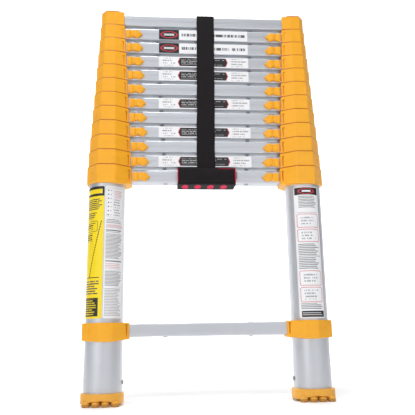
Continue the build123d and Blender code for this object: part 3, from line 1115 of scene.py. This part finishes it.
def latch_moulding():
    """Left latch from its tube's surface: button, stem and the carrier inside the rung."""
    stem_x = CARRIER_START + 2.0
    carrier = block(
        (CARRIER_START, CARRIER_START + CARRIER_LENGTH), (-11.0, 11.0), (-8.5, 8.5), 1.0)
    stem = block((stem_x, stem_x + 14.0), (-RUNG_FRONT - 1.4, -9.0), (-4.0, 4.0), 0.6)
    ribs = [
        block(
            (CARRIER_START + 2 + 6 * n, CARRIER_START + 4 + 6 * n), (-11.4, 11.4), (-8.9, 8.9), 0.4)
        for n in range(5)
    ]
    mesh = carved(button().mesh("latch"), [stem, carrier, *ribs], "UNION")
    pocket = rod((CARRIER_START - 1, 0, 0), (CARRIER_START + 14, 0, 0), 4.02, 32)
    end = CARRIER_START + CARRIER_LENGTH
    guide = rod((end - 3, 0, 0), (end + 2, 0, 0), 6.4, 32)
    return carved(mesh, [pocket, guide])


def latch_metal():
    """Left lock pin with a rounded tip, and the coil spring behind the carrier."""
    pin = rod((CARRIER_START + 13.9, 0, 0), (-1.35, 0, 0), 4.0, 32, 0.9)
    start, length = CARRIER_START + CARRIER_LENGTH - 2.8, SPRING_LENGTH + 2.6
    turns, wire, coil = 7, 0.6, 5.3
    rings = []
    steps = turns * 20
    for i in range(steps + 1):
        share = i / steps
        turn = 2 * math.pi * turns * share
        rise = min(max(share * turns - 0.8, 0.0) / (turns - 1.6), 1.0)
        along = start + wire + (length - 2 * wire) * rise
        centre = Vector((along, coil * math.cos(turn), coil * math.sin(turn)))
        out = Vector((0, math.cos(turn), math.sin(turn)))
        rings.append([
            centre + out * wire * math.cos(a) + Vector((wire * math.sin(a), 0, 0))
            for a in (2 * math.pi * k / 8 for k in range(8))
        ])
    spring = Solid().loft(rings)
    return joined([pin, spring])


def other_hand(solid_mesh):
    """The mirror image of a mesh."""
    mesh = solid_mesh.copy()
    shape = bmesh.new()
    shape.from_mesh(mesh)
    for vert in shape.verts:
        vert.co.x = -vert.co.x
    bmesh.ops.reverse_faces(shape, faces=shape.faces[:])
    shape.to_mesh(mesh)
    shape.free()
    return mesh


# ---------------------------------------------------------------- printed film, strap and sleeve


# Clearance of a label from its tube, in millimetres
FILM_GAP = 0.03
# Rungs with a label and its kind, the labels' two ends and half their height
RUNG_LABELS = {12: "band", 11: "band", 10: "block", 9: "block", 7: "block", 5: "block", 3: "block"}
RUNG_LABEL_ENDS, RUNG_LABEL_HALF = (-97.6, 93.7), 11.6


def rectangle(sides, ends, low_corner, high_corner, steps):
    """A rounded rectangle between two sides and two ends."""
    (left, right), (low, high) = sides, ends
    return rounded([
        (left, low, low_corner), (right, low, low_corner),
        (right, high, high_corner), (left, high, high_corner),
    ], steps)


def tube_film(column, left, right, low, high):
    """A label wrapped on a base tube, with rounded corners."""
    thick = sizes().label_thickness / MM
    near, far = BASE_R + FILM_GAP, BASE_R + FILM_GAP + thick
    corner = 3.0
    columns, rows = 48, 40
    passes = ((near, range(rows + 1)), (far, range(rows, -1, -1)))
    width = (right - left) * BASE_R
    solid = Solid()
    rings = []
    for i in range(columns + 1):
        turn = left + (right - left) * i / columns
        from_edge = min(i, columns - i) / columns * width
        cut = 0.0
        if from_edge < corner:
            cut = corner - math.sqrt(corner**2 - (corner - from_edge) ** 2)
        ring = []
        for radius, order in passes:
            for j in order:
                z = low + cut + (high - low - 2 * cut) * j / rows
                ring.append((column + radius * math.sin(turn), -radius * math.cos(turn), z))
        rings.append(ring)
    return solid.loft(rings)


def rung_film(left, right, z, half):
    """A flat label on the front of a rung, with rounded corners."""
    thick = sizes().label_thickness / MM
    plan = rectangle((left, right), (z - half, z + half), 1.2, 1.2, 4)
    front = -RUNG_FRONT
    rings = [[(p.x, y, p.y) for p in plan] for y in (front - 0.02, front - 0.02 - thick)]
    return Solid().loft(rings)


def strap_band():
    """Webbing that runs up the front of the stack, over the top rung and down the back."""
    thick = sizes().strap_thickness / MM
    lean = sizes().strap_lean / MM
    half = (STRAP_HIGH.x - STRAP_LOW.x) / 2 - 0.3
    inner = RUNG_FRONT + 0.62
    top = rung_height(SECTIONS + 1) + RUNG_HALF + 0.62
    low = STRAP_LOW.z + 0.3
    bend = 2.2
    line = []
    steps = 150
    for i in range(steps + 1):
        line.append((-inner, low + (top - bend - low) * i / steps, -1.0, 0.0))
    for i in range(1, 9):
        turn = math.pi / 2 * i / 9
        cos, sin = math.cos(turn), math.sin(turn)
        line.append((-inner + bend * (1 - cos), top - bend * (1 - sin), -cos, sin))
    for i in range(13):
        line.append((-inner + bend + (2 * inner - 2 * bend) * i / 12, top, 0.0, 1.0))
    line += [(-y, z, -ny, nz) for y, z, ny, nz in reversed(line[: steps + 9])]
    across = 26
    rings = []
    for y, z, ny, nz in line:
        share = (z - low) / (top - low)
        centre = (STRAP_LOW.x + STRAP_HIGH.x) / 2 - lean * 0.5 + lean * 1.6 * share
        sway = 0.25 * math.sin(z * 0.11) + 0.15 * math.sin(z * 0.043 + 1.0)
        outer, inside = [], []
        for k in range(across + 1):
            s = k / across * 2 - 1
            rib = 0.10 * math.cos(s * across * math.pi / 2)
            edge = 0.35 * max(0.0, abs(s) - 0.88) / 0.12
            rise = thick + rib - edge + 0.08 * math.sin(z * 0.9 + k)
            x = centre + sway + half * s
            outer.append((x, y + ny * rise, z + nz * rise))
            inside.append((x, y + ny * edge * 0.5, z + nz * edge * 0.5))
        rings.append(outer + inside[::-1])
    return Solid().loft(rings)


def sleeve_shape():
    """Padded sleeve: crowned faces, sewn panels and finger hollows below."""
    puff = sizes().sleeve_puff / MM
    inner_y = RUNG_FRONT + 3.3
    z_mid = SECOND_RUNG_Z
    low, high = SLEEVE_LOW.z + 0.5, SLEEVE_HIGH.z - 0.4
    hollow_low, hollow_high = z_mid - RUNG_HALF - 1.2, z_mid + RUNG_HALF + 0.7
    outer_y = SLEEVE_HIGH.y - 1.6
    half = (SLEEVE_HIGH.x - SLEEVE_LOW.x) / 2 - 0.6
    centre = (SLEEVE_HIGH.x + SLEEVE_LOW.x) / 2
    plan = rectangle((-outer_y, outer_y), (low, high), 3.6, 4.0, 6)
    dense = []
    for i, here in enumerate(plan):
        before = plan[i - 1]
        count = max(1, int((here - before).length / 1.6))
        dense += [before.lerp(here, k / count) for k in range(count)]
    normals = []
    for i, here in enumerate(dense):
        tangent = (dense[(i + 1) % len(dense)] - dense[i - 1]).normalized()
        normals.append(Vector((tangent.y, -tangent.x)))
    stations = 110
    rings = []
    for n in range(stations + 1):
        s = n / stations * 2 - 1
        x = centre + half * s
        edge = 1 - abs(s)
        crown = puff * min(1.0, (edge * half / 9.0)) ** 0.5
        ring = []
        for here, normal in zip(dense, normals):
            y, z = here
            up = (z - low) / (high - low)
            on_face = abs(normal.x) > 0.8
            rise = crown * (math.sin(math.pi * min(max(up, 0.0), 1.0)) ** 0.5 if on_face else 0.2)
            if on_face:
                rise -= panel_seam(s, half, z - low, high - z)
                rise += 0.25 * math.sin(x * 0.21 + z * 0.13) + 0.18 * math.sin(x * 0.07 - z * 0.31)
            if normal.y < -0.8:
                inward = max(0.0, 1 - (y / (outer_y - 2)) ** 4)
                for finger in FINGERS:
                    rise -= 0.9 * inward * math.exp(-(((x - centre - finger) / 7.5) ** 2))
            ring.append((x, y + normal.x * rise, z + normal.y * rise))
        rings.append(ring)
    body = Solid().loft(rings)
    sides = (-inner_y, inner_y)
    hollow = block((centre - half - 2, centre + half + 2), sides, (hollow_low, hollow_high))
    gap = (STRAP_HIGH.x - STRAP_LOW.x) / 2 + 3.0
    slots = []
    for side in (-1, 1):
        depth = sorted((side * (RUNG_FRONT - 0.5), side * inner_y))
        slots.append(block((centre - gap, centre + gap), depth, (z_mid, high + 5)))
    return carved(body.mesh("sleeve"), [hollow, *slots])


# Middles of the finger hollows, the panel's reach and the stitched share of the seam
FINGERS = (-43.5, -17.5, 9.0, 36.0)
PANEL_SIDE = 0.90
STITCH_SHARE = 0.62


def seam_height(s):
    """Height of the panel's lower seam above the sleeve's lower edge."""
    return 5.6 + 0.9 * math.cos(s * 4.2) + 0.5 * s


def panel_seam(s, half, above_low, below_high):
    """How far the sewn outline of the front panel sinks into the padding."""
    sunk = 0.0
    if abs(s) < PANEL_SIDE:
        sunk += 0.9 * math.exp(-(((above_low - seam_height(s)) / 0.9) ** 2))
        sunk += 0.7 * math.exp(-(((below_high - 5.0) / 0.9) ** 2))
    if above_low > seam_height(s) and below_high > 5.0:
        sunk += 0.8 * math.exp(-(((abs(s) - PANEL_SIDE) * half / 0.9) ** 2))
    return sunk


def drape(sleeve, x, y, z, way):
    """The sleeve's surface met from a point outside it, looking one way."""
    place, normal, _, _ = sleeve.ray_cast(Vector((x, y, z)) * MM, Vector(way))
    return (place / MM, normal) if place else (None, None)


def surface_of(mesh):
    """A mesh's faces, ready for looking up points on them."""
    return BVHTree.FromPolygons([v.co for v in mesh.vertices], [p.vertices for p in mesh.polygons])


def ribbon(sleeve, line, width, lift):
    """A narrow raised band along a line of (x, z) points on the sleeve's front."""
    rings = []
    for i, (x, z) in enumerate(line):
        place, normal = drape(sleeve, x, -60.0, z, (0, 1, 0))
        if place is None:
            continue
        ahead = line[min(i + 1, len(line) - 1)]
        behind = line[max(i - 1, 0)]
        along = Vector((ahead[0] - behind[0], 0, ahead[1] - behind[1])).normalized()
        across = along.cross(normal).normalized()
        ring = []
        for k in range(8):
            turn = 2 * math.pi * k / 8
            aside = across * width / 2 * math.cos(turn)
            ring.append(place + aside + normal * lift * math.sin(turn))
        rings.append(ring)
    return Solid().loft(rings)


def finger_pad(sleeve, x, wide, deep):
    """A long soft pad on the sleeve's underside, where one finger goes."""
    rings = []
    for level, share in ((-0.3, 1.0), (0.15, 1.0), (0.35, 0.9), (0.45, 0.6), (0.5, 0.25)):
        ring = []
        for k in range(36):
            turn = 2 * math.pi * k / 36
            px, py = x + wide * share * math.cos(turn), deep * share * math.sin(turn)
            place, normal = drape(sleeve, px, py, SLEEVE_LOW.z - 40.0, (0, 0, 1))
            ring.append(place + normal * level)
        rings.append(ring)
    return Solid().loft(rings)


# ---------------------------------------------------------------- operators


def sleeve_seam(face, centre, half):
    """Stitches along the panel's lower seam."""
    pitch = sizes().stitch_pitch / MM
    points = 400
    seam = []
    for i in range(points):
        s = PANEL_SIDE * (2 * i / (points - 1) - 1)
        seam.append((centre + half * s, SLEEVE_LOW.z + seam_height(s) + 2.0))
    walked = 0.0
    run, stitches = [], []
    for before, here in zip(seam, seam[1:]):
        walked += math.hypot(here[0] - before[0], here[1] - before[1])
        if walked % pitch < pitch * STITCH_SHARE:
            run.append(here)
        elif run:
            if len(run) > 2:
                stitches.append(ribbon(face, run, 0.7, 0.35))
            run = []
    return joined(stitches)


def sleeve_edges(face, centre, half):
    """Binding up both ends, and a cord along the upper edge beside the strap."""
    top, bottom = SLEEVE_HIGH.z - 3.5, SLEEVE_LOW.z + 4.0
    edges = []
    for side in (-1, 1):
        x = centre + side * (half - 1.0)
        line = [(x, bottom + (top - bottom) * i / 40) for i in range(41)]
        edges.append(ribbon(face, line, 1.8, 0.8))
    strap_edge = (STRAP_HIGH.x - STRAP_LOW.x) / 2 + 4.0
    reach = half - 3.0 - strap_edge
    line = [(centre + strap_edge + reach * i / 60, SLEEVE_HIGH.z - 3.2) for i in range(61)]
    return joined([*edges, ribbon(face, line, 0.7, 0.4)])


class LADDER_OT_metal(bpy.types.Operator):
    """Finish the tubes, rungs, rivets, screws and spring blocks of the frame"""

    bl_idname = "ladder.metal"
    bl_label = "Finish the metal frame"

    def execute(self, context):
        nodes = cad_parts
        first_edge = -COLUMN_X - BASE_R - 0.6
        for node in ("s01_stile_left", "s01_stile_right", "s01_bottom_rung"):
            self.dress(nodes[node], aluminium(first_edge, -100.0, BOTTOM_RUNG_Z))
        self.dress(nodes["s01_rung"], aluminium(first_edge, -100.0, SECOND_RUNG_Z))
        for section in range(2, SECTIONS + 1):
            node = f"s{section:02d}_frame"
            edge = -COLUMN_X - tube_radius(section) - 0.6
            plug_top = node_box(node)[0].z + 3.0
            self.dress(nodes[node], aluminium(edge, plug_top, rung_height(section + 1)))
        for node in ("s01_rivets", "s01_foot_screws"):
            self.dress(nodes[node], steel())
        self.dress(nodes["s01_spring_blocks"], nylon())
        return {"FINISHED"}

    def dress(self, node, material):
        node.data.materials.clear()
        node.data.materials.append(material)


class LADDER_OT_collars(bpy.types.Operator):
    """Build the moulded collars of rungs 1 to 12"""

    bl_idname = "ladder.collars"
    bl_label = "Build the collars"

    def execute(self, context):
        mesh = shaded(with_other_side(bottom_collar()))
        piece(
            "bottom_collars", mesh, "base", moulding_and_painted_recess_shade(),
            ["s01_bottom_collars"])
        for rung in range(2, SECTIONS + 1):
            section = rung - 1
            mesh = shaded(with_other_side(stack_collar(rung)))
            piece(
                f"collars_{section:02d}", mesh, body_name(section),
                moulding_and_painted_recess_shade(), [f"s{section:02d}_collars"])
        return {"FINISHED"}


class LADDER_OT_caps(bpy.types.Operator):
    """Build the closed caps of the top rung"""

    bl_idname = "ladder.caps"
    bl_label = "Build the top caps"

    def execute(self, context):
        mesh = shaded(with_other_side(top_cap()))
        piece("top_caps", mesh, "section_12", moulding("collar"), ["s12_caps"])
        return {"FINISHED"}


class LADDER_OT_feet(bpy.types.Operator):
    """Build the two feet with their tread lugs"""

    bl_idname = "ladder.feet"
    bl_label = "Build the feet"

    def execute(self, context):
        left = shaded(foot())
        right = shaded(other_hand(left))
        piece("foot_left", left, "base", moulding("foot"), ["s01_foot_left"])
        piece("foot_right", right, "base", moulding("foot"), ["s01_foot_right"])
        return {"FINISHED"}


class LADDER_OT_latches(bpy.types.Operator):
    """Build the thumb latches with their pins and springs"""

    bl_idname = "ladder.latches"
    bl_label = "Build the latches"

    def execute(self, context):
        left = shaded(latch_moulding(), 40.0)
        metal = shaded(latch_metal().mesh("latch_metal"))
        hands = {
            "left": (1, left, metal),
            "right": (-1, shaded(other_hand(left), 40.0), shaded(other_hand(metal))),
        }
        for section in range(1, SECTIONS):
            for hand, (side, plastic, pin) in hands.items():
                place = (side * (COLUMN_X + tube_radius(section)), 0, rung_height(section + 1))
                body = f"latch_{section:02d}_{hand}"
                node = f"s{section:02d}_latch_{hand}"
                parts = (
                    ("button", plastic, "yellow_plastic", moulding("collar")),
                    ("pin", pin, "steel", steel()),
                )
                for part, mesh, slot, look in parts:
                    piece(f"{body}_{part}", mesh.copy(), body, look, [node], place)
        return {"FINISHED"}


class LADDER_OT_labels(bpy.types.Operator):
    """Lay the printed labels on the base tubes and on the rungs"""

    bl_idname = "ladder.labels"
    bl_label = "Lay the labels"

    def execute(self, context):
        turn = math.radians
        films = [
            ("label_yellow", COLUMN_X, -95, -3, 158, 414, yellow_label()),
            ("label_white", COLUMN_X, 0, 66, 158, 415, white_label()),
            ("label_picture", -COLUMN_X, -44, 40, 154, 415, picture_label()),
        ]
        for name, column, left, right, low, high, material in films:
            film = tube_film(column, turn(left), turn(right), low, high)
            piece(name, shaded(film.mesh(name)), "base", material)
        for rung, kind in RUNG_LABELS.items():
            z = rung_height(rung)
            film = shaded(rung_film(*RUNG_LABEL_ENDS, z, RUNG_LABEL_HALF).mesh("film"))
            piece(f"label_rung_{rung:02d}", film, body_name(rung - 1), rung_label(kind, z))
        return {"FINISHED"}


class LADDER_OT_strap(bpy.types.Operator):
    """Build the woven carry strap"""

    bl_idname = "ladder.strap"
    bl_label = "Build the strap"

    def execute(self, context):
        mesh = shaded(strap_band().mesh("strap"), 50.0)
        piece("carry_strap", mesh, "section_12", weave("webbing"), ["s12_strap"])
        return {"FINISHED"}


class LADDER_OT_sleeve(bpy.types.Operator):
    """Build the padded grip sleeve with its binding, stitches, finger pads and tab"""

    bl_idname = "ladder.sleeve"
    bl_label = "Build the grip sleeve"

    def execute(self, context):
        mesh = shaded(sleeve_shape(), 50.0)
        face = surface_of(mesh)
        half = (SLEEVE_HIGH.x - SLEEVE_LOW.x) / 2
        centre = (SLEEVE_HIGH.x + SLEEVE_LOW.x) / 2
        high = SLEEVE_HIGH.z
        pads = joined([finger_pad(face, centre + x, 6.8, 15.0) for x in FINGERS])
        tab = block(
            (centre + half - 3.0, centre + half + 3.4), (-19.0, -17.4), (high - 22.0, high - 7.0),
            0.5,
        )
        cover = weave("sleeve")
        body = piece("grip_sleeve", mesh, "base", cover, ["s01_grip_sleeve"])
        sewn = (
            ("pads", pads, "trim"),
            ("binding", sleeve_edges(face, centre, half), "trim"),
            ("stitches", sleeve_seam(face, centre, half), "thread"),
            ("tab", tab, "tab"),
        )
        for name, solid, kind in sewn:
            look = weave(kind)
            piece(f"sleeve_{name}", shaded(solid.mesh(name)), "base", look)
        return {"FINISHED"}


# Camera: where it stands, how it is turned, and its lens
CAMERA_PLACE = (-0.0917, -1.1354, 0.1165)
CAMERA_PITCH, CAMERA_YAW, CAMERA_ROLL = 12.99, -4.73, -0.93
CAMERA_LENS = 49.65
SENSOR_WIDTH, NEAREST = 36.0, 0.01

# Paper sweep in metres: front edge, start and radius of its bend, top edge, half its width
PAPER_FRONT, PAPER_BEND, BEND_RADIUS, PAPER_TOP, PAPER_SIDE = -12.0, 6.0, 2.0, 12.0, 14.0
PAPER_DROP = 0.1

# Light from all round: colour and strength
SKY_COLOUR, SKY_STRENGTH = (0.95, 0.97, 1.0, 1.0), 0.22
# Lamps: name, place, the point it is turned to, width and height, watts
LAMPS = (
    ("top", (-0.3, -0.75, 2.8), (0.0, 0.0, 0.35), (0.5, 0.5), 33.0),
    ("left_panel", (-1.5, -1.9, 0.8), (0.0, 0.0, 0.35), (0.9, 1.2), 10.0),
    ("right_panel", (1.2, -2.3, 0.8), (0.0, 0.0, 0.35), (0.9, 1.2), 5.0),
    ("front_panel", (-0.1, -2.4, 1.3), (0.0, 0.0, 0.5), (2.2, 0.6), 6.5),
    ("back", (0.3, 2.0, 3.2), (0.0, 1.8, 0.6), (2.4, 2.4), 40.0),
)


class LADDER_OT_stage(bpy.types.Operator):
    """Set up the paper sweep, the studio lights and the camera"""

    bl_idname = "ladder.stage"
    bl_label = "Set up the stage"

    def execute(self, context):
        self.paper()
        self.lights(context.scene)
        self.camera(context.scene)
        return {"FINISHED"}

    def paper(self):
        profile = [(PAPER_FRONT, 0.0), (1.0, 0.0), (PAPER_BEND, 0.0)]
        for step in range(1, 25):
            turn = math.pi / 2 * step / 24
            rise = BEND_RADIUS * (1 - math.cos(turn))
            profile.append((PAPER_BEND + BEND_RADIUS * math.sin(turn), rise))
        profile.append((PAPER_BEND + BEND_RADIUS, PAPER_TOP))
        rings = [
            [(x / MM, y / MM, z / MM - PAPER_DROP) for y, z in profile]
            for x in (-PAPER_SIDE, PAPER_SIDE)
        ]
        sheet = Solid().loft(rings, closed=False, ends=False).mesh("paper")
        sheet.polygons.foreach_set("use_smooth", [True] * len(sheet.polygons))
        sheet.materials.append(paper_white())
        linked("paper_sweep", sheet)

    def lights(self, scene):
        world = bpy.data.worlds.new("studio")
        world.use_nodes = True
        background = world.node_tree.nodes["Background"].inputs
        background["Color"].default_value = SKY_COLOUR
        background["Strength"].default_value = SKY_STRENGTH
        scene.world = world
        scene.view_settings.view_transform = "Standard"
        for name, place, aim, (wide, tall), watts in LAMPS:
            lamp = bpy.data.lights.new(name, "AREA")
            lamp.shape = "RECTANGLE"
            lamp.size, lamp.size_y, lamp.energy = wide, tall, watts
            holder = bpy.data.objects.new(name, lamp)
            scene.collection.objects.link(holder)
            holder.location = place
            toward = Vector(aim) - Vector(place)
            holder.rotation_euler = toward.to_track_quat("-Z", "Y").to_euler()

    def camera(self, scene):
        pitch, yaw, roll = (math.radians(a) for a in (CAMERA_PITCH, CAMERA_YAW, CAMERA_ROLL))
        ahead = Vector((-math.sin(yaw), math.cos(yaw), 0))
        right = Vector((math.cos(yaw), math.sin(yaw), 0))
        up = Vector((0, 0, math.cos(pitch))) - ahead * math.sin(pitch)
        forward = ahead * math.cos(pitch) + Vector((0, 0, math.sin(pitch)))
        right, up = (
            right * math.cos(roll) + up * math.sin(roll),
            up * math.cos(roll) - right * math.sin(roll),
        )
        lens = bpy.data.cameras.new("camera")
        lens.lens = CAMERA_LENS
        lens.sensor_width = SENSOR_WIDTH
        lens.clip_start = NEAREST
        holder = bpy.data.objects.new("camera", lens)
        scene.collection.objects.link(holder)
        turned = Matrix((right, up, -forward)).transposed().to_4x4()
        holder.matrix_world = Matrix.Translation(Vector(CAMERA_PLACE)) @ turned
        scene.camera = holder


class LADDER_PT_pieces(bpy.types.Panel):
    """The ladder's pieces, sizes and colours"""

    bl_label = "Telescoping ladder"
    bl_idname = "LADDER_PT_pieces"
    bl_space_type = "VIEW_3D"
    bl_region_type = "UI"
    bl_category = "Ladder"

    def draw(self, context):
        for made in OPERATORS:
            self.layout.operator(made.bl_idname)
        for group in (context.scene.ladder_sizes, context.scene.ladder_colours):
            for name in group.__annotations__:
                self.layout.prop(group, name)


OPERATORS = (
    LADDER_OT_metal,
    LADDER_OT_collars,
    LADDER_OT_caps,
    LADDER_OT_feet,
    LADDER_OT_latches,
    LADDER_OT_labels,
    LADDER_OT_strap,
    LADDER_OT_sleeve,
    LADDER_OT_stage,
)
CLASSES = (LadderColours, LadderSizes, *OPERATORS, LADDER_PT_pieces)


def register():
    for made in CLASSES:
        bpy.utils.register_class(made)
    bpy.types.Scene.ladder_colours = bpy.props.PointerProperty(type=LadderColours)
    bpy.types.Scene.ladder_sizes = bpy.props.PointerProperty(type=LadderSizes)


def unregister():
    del bpy.types.Scene.ladder_sizes
    del bpy.types.Scene.ladder_colours
    for made in reversed(CLASSES):
        bpy.utils.unregister_class(made)


def main():
    register()
    for made in OPERATORS:
        group, name = made.bl_idname.split(".")
        getattr(getattr(bpy.ops, group), name)()


if __name__ == "__main__":
    main()
